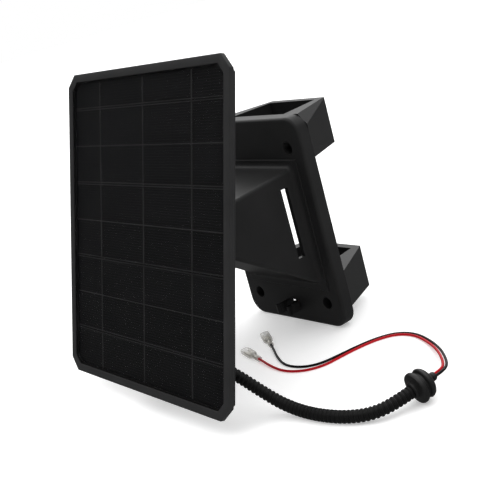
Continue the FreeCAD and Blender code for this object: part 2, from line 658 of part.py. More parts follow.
def arm_section(body, name, offset, wall, share):
    """A section of the arm at a share of its length from the flange, inside the given wall."""
    half = "( arm_base_width + ( arm_tip_width - arm_base_width ) * %s ) / 2 - %s" % (share, wall)
    top = "arm_base_top + ( arm_tip_top - arm_base_top ) * %s - %s" % (share, wall)
    low = "0 - arm_base_low + ( arm_tip_low + arm_base_low ) * %s + %s" % (share, wall)
    sketch = new_sketch(body, name, "XZ_Plane", offset)
    polygon(sketch, [("0 - ( %s )" % half, low), (half, low), (half, top), ("0 - ( %s )" % half, top)])
    return sketch


def foot_section(body, name, offset, half, top, low, facet, facet_height, shoulder):
    """A section of one foot, with its lower corners cut off, and its upper ones if it has a shoulder."""
    sketch = new_sketch(body, name, "XZ_Plane", offset)
    right = [(half, "%s + %s" % (low, facet_height)), ("%s - %s" % (half, facet), low)]
    if shoulder:
        right = [("%s - %s" % (half, shoulder), top), (half, "%s - %s" % (top, shoulder))] + right
    else:
        right = [(half, top)] + right
    left = [("0 - ( %s )" % x, z) for x, z in reversed(right)]
    polygon(sketch, right + left)
    return sketch


def make_bracket():
    body = new_body("bracket")
    middle = "flange_rise"
    plate = new_sketch(body, "flange_outline", "XZ_Plane", "flange_front")
    rounded(plate, "flange_width", "flange_height", "flange_corner", middle)
    pad(body, plate, "flange_depth", backwards=True)
    front = -size("flange_front")
    fillet(body, edges_where(body.Tip.Shape, lambda e: lies_at(e, "y", front)), "flange_edge")

    plinth_front = "flange_front + plinth_height"
    plinth = arm_section(body, "arm_plinth_outline", "flange_front",
                         "( 0 - plinth_margin )", "0")
    pad(body, plinth, "plinth_height")
    step = -at(plinth_front)
    fillet(body, edges_where(body.Tip.Shape, lambda e: lies_at(e, "y", step)), "plinth_edge")

    outer_root = arm_section(body, "arm_root_outline", plinth_front, "0", "0")
    outer_tip = arm_section(body, "arm_tip_outline", ARM_TIP, "0", "1")
    loft(body, "AdditiveLoft", outer_root, outer_tip)
    tip = -at(ARM_TIP)

    def long_edge(edge):
        ends = sorted(v.Y for v in edge.Vertexes)
        return len(ends) == 2 and abs(ends[0] - tip) < 1e-3 and abs(ends[1] - step) < 1e-3

    fillet(body, edges_where(body.Tip.Shape, long_edge), "arm_edge")
    half_root = size("arm_base_width") / 2

    def root_edge(edge):
        if not lies_at(edge, "y", step):
            return False
        box = edge.BoundBox
        return (box.XMax < half_root + 0.01 and box.XMin > -half_root - 0.01
                and box.ZMax < size("arm_base_top") + 0.01 and box.ZMin > -size("arm_base_low") - 0.01)

    fillet(body, edges_where(body.Tip.Shape, root_edge), "arm_root")

    tray = new_sketch(body, "flange_tray", "XZ_Plane", FLANGE_BACK)
    rounded(tray, "flange_width - 2 * flange_wall", "flange_height - 2 * flange_wall",
            "flange_corner - flange_wall", middle)
    pocket(body, tray, "flange_depth - flange_plate", along_normal=True)

    share = "( arm_length - arm_wall ) / arm_length"
    inner_root = arm_section(body, "arm_hollow_root", PLATE_BACK, "arm_wall", "0")
    inner_tip = arm_section(body, "arm_hollow_tip", ARM_TIP + " - arm_wall", "arm_wall", share)
    loft(body, "SubtractiveLoft", inner_root, inner_tip)

    shoulder = "flange_corner * 0.586"
    feet = [
        ("upper", "foot_top", "foot_top - upper_foot_height", "upper_facet_height", shoulder),
        ("lower", "lower_foot_top", "lower_foot_top - lower_foot_height", "lower_facet_height", "")]
    for name, top, low, facet_height, cut in feet:
        seat_half = "( flange_width / 2 - flange_wall + 0.5 )"
        seat_top = "%s - flange_wall / 2" % top if cut else top
        seat = foot_section(body, name + "_foot_seat", PLATE_BACK, seat_half, seat_top, low,
                            "foot_facet", facet_height, cut)
        pad(body, seat, "flange_depth - flange_plate", backwards=True)
        root = foot_section(body, name + "_foot_root", FLANGE_BACK, "flange_width / 2", top, low,
                            "foot_facet", facet_height, cut)
        end = foot_section(body, name + "_foot_end", "0", "foot_width / 2", top, low,
                           "foot_facet / 20", "( %s ) / 20" % facet_height, cut and cut + " / 20")
        loft(body, "AdditiveLoft", root, end)

    rim, back = "0 - foot_rim", "0 - ( %s ) + 1.3" % FLANGE_BACK
    core = new_sketch(body, "foot_pockets", "XY_Plane", "foot_top + 1")
    polygon(core, [("0 - foot_pocket_front / 2", back), ("foot_pocket_front / 2", back),
                   ("foot_pocket_back / 2", rim), ("0 - foot_pocket_back / 2", rim)])
    pocket(body, core, "foot_top - lower_foot_top + lower_foot_height + 2")
    relief = new_sketch(body, "seat_relief", "XY_Plane", "foot_top - flange_wall")
    polygon(relief, [("0 - foot_pocket_front / 2", "0 - ( %s )" % PLATE_BACK),
                     ("foot_pocket_front / 2", "0 - ( %s )" % PLATE_BACK),
                     ("foot_pocket_front / 2", "%s + 0.1" % back),
                     ("0 - foot_pocket_front / 2", "%s + 0.1" % back)])
    pocket(body, relief, "foot_top - flange_wall - lower_foot_top + lower_foot_height + 1")

    rib = new_sketch(body, "arm_rib_outline", "YZ_Plane", "0 - arm_rib / 2")
    polygon(rib, [("0 - flange_front - 30", "arm_base_top - 6"),
                  ("0 - ( %s ) + 1" % ARM_TIP, "arm_tip_top - 1"),
                  ("0 - ( %s ) + 1" % ARM_TIP, "arm_tip_low + 1"),
                  ("0 - flange_front - 30", "0 - arm_base_low + 24")])
    pad(body, rib, "arm_rib")

    make_ears(body)
    make_bracket_holes(body)
    make_clip(body)


def make_ears(body):
    """The fork round the tilt bolt, on the arm's tip."""
    block = new_sketch(body, "ear_block", "YZ_Plane", "0 - ears_width / 2")
    tip_inside = "0 - ( %s ) + 1" % ARM_TIP
    polygon(block, [(tip_inside, "pivot_z - ear_radius"), (PIVOT_Y, "pivot_z - ear_radius"),
                    (PIVOT_Y, "pivot_z + ear_radius"), (tip_inside, "pivot_z + ear_radius")])
    pad(body, block, "ears_width")
    ends = new_sketch(body, "ear_ends", "YZ_Plane", "0 - ears_width / 2")
    circle(ends, "2 * ear_radius", PIVOT_Y, "pivot_z")
    pad(body, ends, "ears_width")
    gap = new_sketch(body, "ear_gap_outline", "YZ_Plane", "ear_gap / 2")
    rectangle(gap, "2 * ear_radius + 2", "2 * ear_radius + 2", PIVOT_Y, "pivot_z")
    pocket(body, gap, "ear_gap")
    bore = new_sketch(body, "ear_bore", "YZ_Plane", "ears_width / 2")
    circle(bore, "bolt_diameter + 2 * bolt_clearance", PIVOT_Y, "pivot_z")
    pocket(body, bore, "ears_width")


def make_bracket_holes(body):
    """The strap slot through both sides of the arm, and the four blind screw holes."""
    slot = new_sketch(body, "strap_slot", "YZ_Plane", "arm_base_width / 2 + 1")
    rectangle(slot, "slot_width", "slot_length", "0 - flange_front - slot_forward - slot_width / 2",
              "slot_rise")
    pocket(body, slot, "arm_base_width + 2")
    access = new_sketch(body, "screw_access_holes", "XZ_Plane", "flange_front")
    corner_circles(access, "screw_access", "screws_x / 2", "screws_z / 2", "0")
    pocket(body, access, "access_depth")
    pilot = new_sketch(body, "screw_pilot_holes", "XZ_Plane", "flange_front")
    corner_circles(pilot, "screw_hole", "screws_x / 2", "screws_z / 2", "0")
    pocket(body, pilot, "access_depth + pilot_depth")


def make_clip(body):
    """Two fingers that grip the conduit, over a window in the flange."""
    outside = "clip_bore + 2 * clip_wall"
    reach = "0 - flange_front - clip_bore / 2 - 0.6"
    low = "clip_rise - clip_height / 2"
    ring = new_sketch(body, "clip_ring", "XY_Plane", low)
    circle(ring, outside, "0", reach)
    pad(body, ring, "clip_height")
    root = new_sketch(body, "clip_root", "XY_Plane", low)
    rectangle(root, outside, "clip_bore / 2 + 0.6 + 1", "0",
              "0 - flange_front - ( clip_bore / 2 + 0.6 - 1 ) / 2")
    pad(body, root, "clip_height")
    grip = new_sketch(body, "clip_grip", "XY_Plane", "clip_rise + clip_height / 2 + 0.5")
    circle(grip, "clip_bore", "0", reach)
    pocket(body, grip, "clip_height + 1")
    mouth = new_sketch(body, "clip_mouth_cut", "XY_Plane", "clip_rise + clip_height / 2 + 0.5")
    polygon(mouth, [("0 - clip_mouth / 2", reach), ("clip_mouth / 2", reach),
                    ("clip_mouth / 2 + 2", "%s - clip_bore" % reach),
                    ("0 - clip_mouth / 2 - 2", "%s - clip_bore" % reach)])
    pocket(body, mouth, "clip_height + 1")
    for side in (-1, 1):
        tip = new_sketch(body, "clip_tip_left" if side < 0 else "clip_tip_right", "XY_Plane", low)
        polygon(tip, [("%d * ( clip_mouth / 2 + 0.6 )" % side, "%s - clip_bore / 2 + 0.6" % reach),
                      ("%d * ( clip_mouth / 2 + 3.2 )" % side, "%s - clip_bore / 2 + 1.6" % reach),
                      ("%d * ( clip_mouth / 2 + 4.6 )" % side, "%s - clip_bore / 2 - 2.6" % reach),
                      ("%d * ( clip_mouth / 2 + 2.4 )" % side, "%s - clip_bore / 2 - 3.2" % reach)])
        pad(body, tip, "clip_height")
    window = new_sketch(body, "clip_window_cut", "XZ_Plane", "flange_front + 0.8")
    rectangle(window, "clip_window", "clip_window_height", "0", "clip_rise")
    pocket(body, window, "flange_plate + 0.8")


# ---- lead ----

# The conduit leaves the gland to the right, drops to the ground level and swings round to the grommet.
CONDUIT_ROUTE = [
    (41.0, -176.6, -42.0), (54.5, -176.6, -42.0), (68.0, -175.2, -45.6), (80.0, -170.6, -53.5),
    (90.5, -165.5, -63.5), (103.0, -161.3, -71.8), (117.5, -158.6, -75.3), (133.0, -156.9, -75.3),
    (147.8, -152.6, -75.3), (161.3, -145.0, -74.6), (170.71, -133.73, -72.09), (173.8, -119.2, -70.0)]
BLACK_ROUTE = [
    (178.81, -101.43, -67.41), (180.0, -95.8, -66.6), (175.5, -87.0, -68.2), (163.5, -74.5, -71.8),
    (148.0, -61.0, -75.2), (130.5, -49.8, -77.8), (112.0, -43.0, -78.5), (97.5, -46.0, -78.5),
    (88.5, -57.0, -78.5), (83.0, -72.5, -78.5), (79.5, -88.5, -78.5), (75.5, -103.0, -78.5),
    (66.5, -112.0, -78.5), (52.0, -114.8, -78.5), (36.5, -108.6, -78.2), (22.5, -100.0, -77.3),
    (15.0, -95.9, -77.3)]
RED_ROUTE = [
    (176.46, -100.93, -67.41), (177.6, -95.6, -66.65), (173.6, -88.3, -68.2), (161.9, -76.0, -71.8),
    (146.6, -62.7, -75.2), (129.4, -51.7, -77.8), (112.2, -45.3, -78.5), (98.9, -47.9, -78.5),
    (90.5, -58.2, -78.5), (85.3, -73.5, -78.5), (82.5, -89.0, -78.5), (80.5, -103.5, -78.5),
    (72.5, -115.0, -78.5), (58.5, -121.3, -78.5), (43.5, -120.3, -78.2), (29.5, -117.4, -77.3),
    (23.5, -116.0, -77.3)]


def tangent_path(name, route):
    """Straight runs joined by tangent arcs, each as large as its two runs allow."""
    points = [Vector(*p) for p in route]
    edges, radii, here = [], [], points[0]
    for before, corner, after in zip(points, points[1:], points[2:]):
        back, ahead = before - corner, after - corner
        shorter = min(back.Length, ahead.Length)
        back.normalize()
        ahead.normalize()
        turn = math.pi - back.getAngle(ahead)
        cut = 0.45 * shorter
        radii.append(cut / math.tan(turn / 2))
        enter, leave = corner + back * cut, corner + ahead * cut
        inward = back + ahead
        inward.normalize()
        centre = corner + inward * (radii[-1] / math.cos(turn / 2))
        middle = centre - inward * radii[-1]
        edges.append(Part.LineSegment(here, enter).toShape())
        edges.append(Part.Arc(enter, middle, leave).toShape())
        here = leave
    edges.append(Part.LineSegment(here, points[-1]).toShape())
    print("%s: length %.1f mm, radii %s" % (
        name, sum(e.Length for e in edges), " ".join("%.0f" % r for r in radii)))
    return Part.Wire(edges)


def make_cord(name, route, diameter):
    """A plain round cord along its route."""
    path = tangent_path(name, route)
    start = Vector(*route[0])
    ahead = Vector(*route[1]) - start
    ring = Part.Wire([Part.Circle(start, ahead, diameter / 2).toShape()])
    cord = path.makePipeShell([ring], True, False)
    expected = math.pi * diameter ** 2 / 4 * path.Length
    print("%s: volume %.0f, section times length %.0f" % (name, cord.Volume, expected))
    shaped(name, cord)


def make_grommet():
    """A rubber grommet at the conduit's end, and the short collar that the wires leave."""
    end, before = Vector(*CONDUIT_ROUTE[-1]), Vector(*CONDUIT_ROUTE[-2])
    place = Placement(end, Rotation(Vector(1, 0, 0), end - before))
    body = new_body("grommet")
    profile = new_sketch(body, "grommet_profile", "XZ_Plane")
    profile_of_turning(profile, [
        ("0", "grommet_neck / 2 - 0.6"), ("0.8", "grommet_neck / 2"), ("2.4", "grommet_neck / 2"),
        ("2.4", "grommet_flange / 2 - 1"), ("3.2", "grommet_flange / 2"),
        ("5.4", "grommet_flange / 2"), ("6.2", "grommet_flange / 2 - 0.8"),
        ("6.2", "grommet_groove / 2"), ("8.4", "grommet_groove / 2"),
        ("8.4", "grommet_flange / 2 - 1"), ("9.2", "grommet_flange / 2 - 0.3"),
        ("11.4", "grommet_flange / 2 - 0.9"), ("13.2", "grommet_flange / 2 - 3"),
        ("14.6", "grommet_neck / 2 - 1")])
    turned(body, profile)
    body.Placement = place
    collar = new_body("wire_collar")
    outline = new_sketch(collar, "collar_profile", "XZ_Plane")
    profile_of_turning(outline, [
        ("14.6", "collar_diameter / 2"), ("14.6 + collar_length - 0.6", "collar_diameter / 2"),
        ("14.6 + collar_length", "collar_diameter / 2 - 0.4")])
    turned(collar, outline)
    collar.Placement = place


def make_terminal(name, route):
    """A female spade terminal along the wire's last run, and the sleeve over it."""
    end, before = Vector(*route[-1]), Vector(*route[-2])
    ahead = end - before
    ahead.normalize()
    place = Placement(end, Rotation(Vector(1, 0, 0), ahead))
    length, width = size("terminal_length"), size("terminal_width")
    height, wall = size("terminal_height"), size("sleeve_wall")
    crimp, barrel = size("terminal_crimp") / 2, size("terminal_barrel") / 2
    neck = 7.0
    tube = Part.makeCylinder(crimp, neck, Vector(0, 0, 0), Vector(1, 0, 0))
    flat_width, flat_height = width - 4 * wall, height - 4 * wall
    blade = Part.makeBox(length - neck - 3.0, flat_width, flat_height,
                         Vector(neck, -flat_width / 2, -flat_height / 2))
    slot = Part.makeBox(length, flat_width - 1.4, 0.8, Vector(neck + 1.5, 0.7 - flat_width / 2, -0.4))
    shaped(name + "_terminal", tube.fuse(blade).removeSplitter().cut(slot), place)
    back = 3.0
    head = Part.makeBox(length - neck + 1.0, width, height, Vector(neck - 1.0, -width / 2, -height / 2))
    head = head.makeFillet(1.4, [e for e in head.Edges if abs(e.tangentAt(e.FirstParameter).x) > 0.9])
    rear = Part.makeCylinder(barrel, neck + back, Vector(-back, 0, 0), Vector(1, 0, 0))
    shell = head.fuse(rear).removeSplitter()
    bore = Part.makeCylinder(crimp + 0.1, neck + back + 0.1, Vector(-back, 0, 0), Vector(1, 0, 0))
    hollow = Part.makeBox(length - neck + 1.0, width - 2 * wall, height - 2 * wall,
                          Vector(neck, wall - width / 2, wall - height / 2))
    shaped(name + "_terminal_sleeve", shell.cut(bore.fuse(hollow)), place)


make_panel_frame()
make_glass_and_layers()
make_cells()
make_rear_cover()
make_junction_box()
make_box_seal_and_lid()
make_box_fittings()
make_gland()
make_tilt_mount()
make_pivot_hardware()
make_bracket()
make_cord("conduit", CONDUIT_ROUTE, size("conduit_diameter"))
make_cord("black_wire", BLACK_ROUTE, size("wire_diameter"))
make_cord("red_wire", RED_ROUTE, size("wire_diameter"))
make_grommet()
make_terminal("black", BLACK_ROUTE)
make_terminal("red", RED_ROUTE)
doc.recompute()

# ---- checks, then one STEP file per sub-part ----

broken = [o.Name for o in doc.Objects if "Invalid" in o.State or "Error" in o.State]
if broken:
    raise RuntimeError("failed objects: %s" % ", ".join(broken))
members = {link.Name for o in doc.Objects if o.TypeId == "Part::Compound" for link in o.Links}
KINDS = ("PartDesign::Body", "Part::Feature", "Part::Compound", "Part::Box")
subparts = [o for o in doc.Objects if o.TypeId in KINDS and o.Name not in members]
os.makedirs("parts", exist_ok=True)
for part in subparts:
    shape = part.Shape
    if shape.isNull() or not shape.isValid() or shape.Volume <= 0:
        raise RuntimeError("%s has a bad shape" % part.Label)
for part in subparts:
    part.Shape.exportStep("parts/%s.step" % part.Label)
print("%d sub-parts" % len(subparts))
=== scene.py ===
import math
import bmesh
import bpy
from bpy.props import FloatProperty, FloatVectorProperty, IntProperty, PointerProperty
from mathutils import Matrix, Vector


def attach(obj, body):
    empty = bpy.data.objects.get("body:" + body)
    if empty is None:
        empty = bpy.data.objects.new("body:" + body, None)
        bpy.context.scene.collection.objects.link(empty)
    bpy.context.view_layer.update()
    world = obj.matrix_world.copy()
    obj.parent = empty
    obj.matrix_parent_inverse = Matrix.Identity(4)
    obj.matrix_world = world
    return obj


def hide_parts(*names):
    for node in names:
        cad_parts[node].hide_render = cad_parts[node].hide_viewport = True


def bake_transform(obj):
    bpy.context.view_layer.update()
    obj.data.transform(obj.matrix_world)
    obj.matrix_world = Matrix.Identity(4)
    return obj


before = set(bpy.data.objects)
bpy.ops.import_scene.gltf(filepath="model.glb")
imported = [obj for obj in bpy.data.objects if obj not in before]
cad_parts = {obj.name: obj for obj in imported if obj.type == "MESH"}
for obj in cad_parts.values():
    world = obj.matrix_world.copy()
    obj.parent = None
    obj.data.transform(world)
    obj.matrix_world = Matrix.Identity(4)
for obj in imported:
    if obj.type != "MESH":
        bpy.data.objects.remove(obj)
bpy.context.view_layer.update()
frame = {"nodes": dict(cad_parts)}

bl_info = {
    "name": "Solar charging panel on a post bracket",
    "version": (1, 0, 0),
    "blender": (4, 5, 0),
    "location": "View3D > Sidebar > Solar panel",
    "description": "Builds the looks of a tilting solar panel, its bracket and its lead",
    "category": "Object",
}

MM = 0.001
PANEL_TILT = math.radians(19.25)
PANEL = Matrix.Translation((0, -164.2 * MM, 38.9 * MM)) @ Matrix.Rotation(-PANEL_TILT, 4, "X")
PANEL_BODY, BRACKET_BODY = "panel_body", "bracket_body"
FLOOR_HEIGHT = -79.4 * MM

# The pitch of the cells across and along the panel, and how far above its middle a gap between rows lies.
CELL_WIDTH, CELL_HEIGHT, MIDDLE_GAP_RISE = 57.2 * MM, 27.1 * MM, 4.2 * MM

# Control points of the conduit and of the two wires, in millimetres, from where each leaves its fitting.
CONDUIT_ROUTE = [
    (41.0, -176.6, -42.0), (54.5, -176.6, -42.0), (68.0, -175.2, -45.6), (80.0, -170.6, -53.5),
    (90.5, -165.5, -63.5), (103.0, -161.3, -71.8), (117.5, -158.6, -75.3), (133.0, -156.9, -75.3),
    (147.8, -152.6, -75.3), (161.3, -145.0, -74.6), (170.71, -133.73, -72.09), (173.8, -119.2, -70.0)]
BLACK_ROUTE = [
    (178.81, -101.43, -67.41), (180.0, -95.8, -66.6), (175.5, -87.0, -68.2), (163.5, -74.5, -71.8),
    (148.0, -61.0, -75.2), (130.5, -49.8, -77.8), (112.0, -43.0, -78.5), (97.5, -46.0, -78.5),
    (88.5, -57.0, -78.5), (83.0, -72.5, -78.5), (79.5, -88.5, -78.5), (75.5, -103.0, -78.5),
    (66.5, -112.0, -78.5), (52.0, -114.8, -78.5), (36.5, -108.6, -78.2), (22.5, -100.0, -77.3),
    (15.0, -95.9, -77.3)]
RED_ROUTE = [
    (176.46, -100.93, -67.41), (177.6, -95.6, -66.65), (173.6, -88.3, -68.2), (161.9, -76.0, -71.8),
    (146.6, -62.7, -75.2), (129.4, -51.7, -77.8), (112.2, -45.3, -78.5), (98.9, -47.9, -78.5),
    (90.5, -58.2, -78.5), (85.3, -73.5, -78.5), (82.5, -89.0, -78.5), (80.5, -103.5, -78.5),
    (72.5, -115.0, -78.5), (58.5, -121.3, -78.5), (43.5, -120.3, -78.2), (29.5, -117.4, -77.3),
    (23.5, -116.0, -77.3)]


def length(name, text, default, **more):
    return FloatProperty(name=name, description=text, default=default, min=0, unit="LENGTH", **more)


def colour(name, text, default):
    return FloatVectorProperty(name=name, description=text, default=default, size=3,
                               subtype="COLOR", min=0, max=1)


class SolarSizes(bpy.types.PropertyGroup):
    """Sizes that a user would change."""
    edge_round: length("Edge round", "Small round on the panel's moulded edges", 0.0005)
    finger_pitch: length("Finger pitch", "Distance between the fine printed lines on a cell", 0.0018)
    finger_width: length("Finger width", "Width of one fine printed line", 0.0002)
    conduit_diameter: length("Conduit diameter", "Outside of the conduit's ridges", 0.0082)
    ridge_pitch: length("Ridge pitch", "Distance between two ridges of the conduit", 0.0029)
    ridge_depth: length("Ridge depth", "How deep the grooves between the ridges are", 0.00055)
    wire_diameter: length("Wire diameter", "Outside of a wire's insulation", 0.0018)
    sleeve_wall: length("Sleeve wall", "Thickness of a terminal's soft sleeve", 0.0005)
    tube_sides: IntProperty(name="Tube sides", description="Flats round a tube", default=24, min=8)
    sky_strength: FloatProperty(name="Sky light", description="Strength of the soft light from above",
                                default=3.7)
    rear_power: FloatProperty(name="Rear light", description="Power of the light behind the bracket",
                              default=5, unit="POWER")
    fill_power: FloatProperty(name="Fill light", description="Power of the light beside the camera",
                              default=1.2, unit="POWER")


class SolarColours(bpy.types.PropertyGroup):
    """Colours that a user would change."""
    bracket: colour("Bracket", "Moulded plastic of the bracket", (0.0185, 0.0185, 0.0188))
    frame: colour("Frame", "Moulded plastic of the panel's frame", (0.0250, 0.0250, 0.0256))
    cell: colour("Cell", "Face of a solar cell", (0.0050, 0.0051, 0.0056))
    finger: colour("Finger", "Fine printed lines on a cell", (0.0140, 0.0140, 0.0145))
    ribbon: colour("Ribbon", "Blackened ribbons between the cell strips", (0.0170, 0.0170, 0.0175))
    conduit: colour("Conduit", "Ribbed conduit", (0.0085, 0.0085, 0.0085))
    rubber: colour("Rubber", "Grommet, collar and seals", (0.0080, 0.0080, 0.0080))
    black_wire: colour("Black wire", "Insulation of the negative wire", (0.0022, 0.0022, 0.0024))
    red_wire: colour("Red wire", "Insulation of the positive wire", (0.5200, 0.0040, 0.0120))
    sleeve: colour("Sleeve", "Soft clear sleeve of a terminal", (0.8200, 0.8000, 0.7600))
    floor: colour("Floor", "Plain floor under the object", (0.8800, 0.8800, 0.8800))


# ---- materials ----

class Wire:
    """A node's output that Python's operators add Math nodes to."""

    def __init__(self, finish, socket):
        self.finish, self.socket = finish, socket

    def maths(self, operation, *values):
        return self.finish.node("ShaderNodeMath", {"operation": operation}, dict(enumerate(values)))

    def __add__(self, other):
        return self.maths("ADD", self, other)

    __radd__ = __add__

    def __sub__(self, other):
        return self.maths("SUBTRACT", self, other)

    def __rsub__(self, other):
        return self.maths("SUBTRACT", other, self)

    def __mul__(self, other):
        return self.maths("MULTIPLY", self, other)

    __rmul__ = __mul__

    def __truediv__(self, other):
        return self.maths("DIVIDE", self, other)

    def __lt__(self, other):
        return self.maths("LESS_THAN", self, other)

    def fraction(self):
        return self.maths("FRACT", self)

    def floor(self):
        return self.maths("FLOOR", self)


class Finish:
    """One material: a Principled shader and what changes over its surface."""

    def __init__(self, name, tint, roughness, **fixed):
        self.material = bpy.data.materials.new(name)
        self.material.use_nodes = True
        self.tree = self.material.node_tree
        self.shader = next(n for n in self.tree.nodes if n.type == "BSDF_PRINCIPLED")
        self.tint = (*tint, 1)
        self.set("Base Color", self.tint)
        self.set("Roughness", roughness)
        for key, value in fixed.items():
            self.set(key.replace("_", " "), value)

    def set(self, socket, value):
        """A value or a wire for one of the shader's sockets."""
        if isinstance(value, Wire):
            self.tree.links.new(value.socket, self.shader.inputs[socket])
        else:
            self.shader.inputs[socket].default_value = value

    def node(self, kind, settings=None, inputs=None, output=0):
        """Any other node: its settings first, then the values or wires of its sockets."""
        node = self.tree.nodes.new(kind)
        settings = dict(settings or {})
        stops = settings.pop("stops", None)
        for key, value in settings.items():
            setattr(node, key, value)
        if stops:
            ramp = node.color_ramp
            while len(ramp.elements) < len(stops):
                ramp.elements.new(0.5)
            for element, (position, shade) in zip(ramp.elements, stops):
                element.position, element.color = position, (shade, shade, shade, 1)
        for key, value in (inputs or {}).items():
            if isinstance(value, Wire):
                self.tree.links.new(value.socket, node.inputs[key])
            else:
                node.inputs[key].default_value = value
        return Wire(self, node.outputs[output])

    def coordinates(self, matrix=None):
        """Object coordinates, in the frame that a matrix places."""
        place = self.node("ShaderNodeTexCoord", output=3)
        if matrix is None:
            return place
        inverse = matrix.inverted()
        return self.node("ShaderNodeMapping", None, {
            "Vector": place, "Rotation": inverse.to_euler(), "Location": inverse.translation})

    def axes(self, vector):
        kind = "ShaderNodeSeparateXYZ"
        return [self.node(kind, None, {"Vector": vector}, output=i) for i in range(3)]

    def noise(self, size_m, detail=2.0, vector=None):
        """Noise whose features are about size_m across."""
        return self.node("ShaderNodeTexNoise", None, {
            "Vector": vector or self.coordinates(), "Scale": 1 / size_m, "Detail": detail})

    def mixed(self, mask, first, second):
        """A colour between two, by a mask."""
        return self.node("ShaderNodeMix", {"data_type": "RGBA"},
                         {0: mask, 6: first, 7: second}, output=2)

    def shade(self, mask, low, high):
        """The material's own colour, times low where the mask is 0 and high where it is 1."""
        dark = (*[c * low for c in self.tint[:3]], 1)
        light = (*[c * high for c in self.tint[:3]], 1)
        return self.mixed(mask, dark, light)

    def bump(self, height, depth_m):
        self.set("Normal", self.node("ShaderNodeBump", None, {
            "Height": height, "Distance": depth_m, "Strength": 1.0}))


def moulded(name, tint, roughness, grain_m=0.0006, depth_m=0.00002, sheen=0.1):
    """Spark-textured moulded plastic: a fine grain, slow gloss patches and a faint flow in its colour."""
    finish = Finish(name, tint, roughness, Specular_IOR_Level=sheen)
    grain = finish.noise(grain_m, 3.0)
    patches = finish.noise(0.022, 2.0)
    finish.set("Base Color", finish.shade(patches, 0.80, 1.22))
    finish.set("Roughness", roughness - 0.05 + 0.07 * patches + 0.05 * grain)
    finish.bump(grain, depth_m)
    return finish


def rubber(name, tint):
    """Dull moulded rubber with a fine skin."""
    finish = Finish(name, tint, 0.5, Specular_IOR_Level=0.4)
    skin = finish.noise(0.0009, 4.0)
    finish.set("Base Color", finish.shade(finish.noise(0.006), 0.7, 1.35))
    finish.set("Roughness", 0.44 + 0.14 * skin)
    finish.bump(skin, 0.00003)
    return finish


def metal(name, tint, roughness, brush_m=0.0004, stretch=(1, 1, 12)):
    """Plated metal with fine marks, drawn out along one axis, and a little tarnish."""
    finish = Finish(name, tint, roughness, Metallic=1.0)
    long = finish.node("ShaderNodeMapping", None, {
        "Vector": finish.coordinates(), "Scale": tuple(1 / s for s in stretch)})
    marks = finish.noise(brush_m, 2.0, long)
    tarnish = finish.noise(0.004, 3.0)
    finish.set("Base Color", finish.shade(tarnish, 0.72, 1.12))
    finish.set("Roughness", roughness - 0.06 + 0.16 * marks)
    finish.bump(marks, 0.00001)
    return finish


def insulation(name, tint):
    """Extruded silicone insulation: smooth, with a faint ripple."""
    finish = Finish(name, tint, 0.4, Specular_IOR_Level=0.15)
    ripple = finish.noise(0.0025, 2.0)
    finish.set("Base Color", finish.shade(ripple, 0.85, 1.15))
    finish.set("Roughness", 0.28 + 0.14 * ripple)
    finish.bump(ripple, 0.00002)
    return finish


def cell_face(colours, sizes):
    """Dark silicon with fine printed lines across it, and a slightly different tone in each cell."""
    finish = Finish("solar cell", colours.cell, 0.42, Specular_IOR_Level=0.05)
    x, y, z = finish.axes(finish.coordinates(PANEL))
    fingers = (z / sizes.finger_pitch).fraction() < sizes.finger_width / sizes.finger_pitch
    across = (x / CELL_WIDTH).floor()
    along = ((z - MIDDLE_GAP_RISE) / CELL_HEIGHT).floor()
    cell = finish.node("ShaderNodeCombineXYZ", None, {0: across, 1: along, 2: 0.0})
    tone = finish.node("ShaderNodeTexWhiteNoise", {"noise_dimensions": "3D"}, {"Vector": cell})
    cloud = finish.noise(0.03, 3.0)
    silicon = finish.shade(0.55 * tone + 0.45 * cloud, 0.72, 1.28)
    finish.set("Base Color", finish.mixed(fingers, silicon, (*colours.finger, 1)))
    finish.set("Roughness", 0.46 - 0.1 * fingers + 0.06 * cloud)
    finish.bump(fingers, 0.00003)
    return finish


def cover_glass():
    """Clear low-iron glass with a faint prism texture. Only its sheen shows over the cells."""
    finish = Finish("cover glass", (0.01, 0.01, 0.011), 0.2, Alpha=0.06, IOR=1.45)
    texture = finish.noise(0.0012, 2.0)
    finish.set("Roughness", 0.16 + 0.1 * texture)
    finish.bump(texture, 0.00001)
    return finish


def clear_vinyl(name, tint):
    """A translucent sleeve with a milky, slightly uneven skin."""
    finish = Finish(name, tint, 0.28, IOR=1.5)
    cloud = finish.noise(0.003, 3.0)
    finish.set("Alpha", 0.3 + 0.22 * cloud)
    finish.set("Base Color", finish.shade(cloud, 0.85, 1.15))
    finish.set("Roughness", 0.2 + 0.14 * cloud)
    finish.bump(cloud, 0.00004)
    return finish


def board_mask():
    """Green solder mask over copper tracks."""
    finish = Finish("solder mask", (0.012, 0.09, 0.03), 0.32)
    x, y, z = finish.axes(finish.coordinates(PANEL))
    track_pitch, track_length = 2.4 * MM, 9 * MM
    tracks = ((x / track_pitch).fraction() < 0.4) * ((z / track_length).fraction() < 0.8)
    finish.set("Base Color", finish.shade(tracks, 0.8, 1.6))
    finish.bump(tracks, 0.00004)
    return finish


# ---- shapes ----

def settings():
    scene = bpy.context.scene
    return scene.solar_sizes, scene.solar_colours


def dress(node, finish):
    """A node of the frame keeps its shape and gets a finish."""
    obj = frame["nodes"][node]
    if not obj.material_slots:
        obj.data.materials.append(finish.material)
    for slot in obj.material_slots:
        slot.material = finish.material


